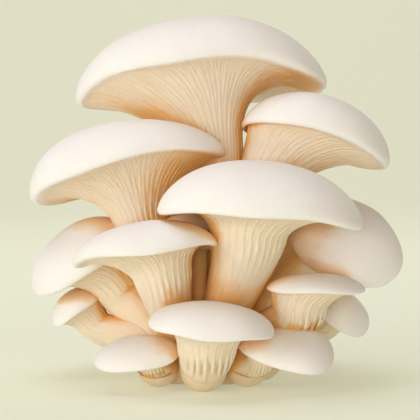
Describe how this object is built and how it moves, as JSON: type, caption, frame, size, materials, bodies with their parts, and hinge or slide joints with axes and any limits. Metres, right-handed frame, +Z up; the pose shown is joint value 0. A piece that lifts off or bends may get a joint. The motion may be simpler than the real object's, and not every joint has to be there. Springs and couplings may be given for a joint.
{
  "type": "oyster mushroom cluster",
  "caption": "Cluster of oyster mushrooms with domed caps, gilled undersides and curved stems, fused at one knobbly base that it stands on.",
  "frame": {"origin": "middle of the flat cut face under the base, on the surface that the cluster stands on", "axes": "+Z up through the cluster, +X to the right and +Y to the back as seen from the side that most of the large caps face"},
  "size_m": [0.1505, 0.1302, 0.1473],
  "materials": {
    "flesh": "satin",
    "heel": "matte"
  },
  "bodies": {
    "root": {"base": "heel", "mushroom_back_high": "flesh", "mushroom_back_left": "flesh", "mushroom_back_low_left": "flesh", "mushroom_back_low_right": "flesh", "mushroom_back_mid": "flesh", "mushroom_back_right": "flesh", "mushroom_bottom_left": "flesh", "mushroom_bottom_right": "flesh", "mushroom_far_low_right": "flesh", "mushroom_front": "flesh", "mushroom_front_left": "flesh", "mushroom_front_low": "flesh", "mushroom_inner": "flesh", "mushroom_left": "flesh", "mushroom_low_left": "flesh", "mushroom_low_right": "flesh", "mushroom_right": "flesh", "mushroom_top": "flesh", "mushroom_upper_left": "flesh", "mushroom_upper_right": "flesh"}
  },
  "joints": []
}
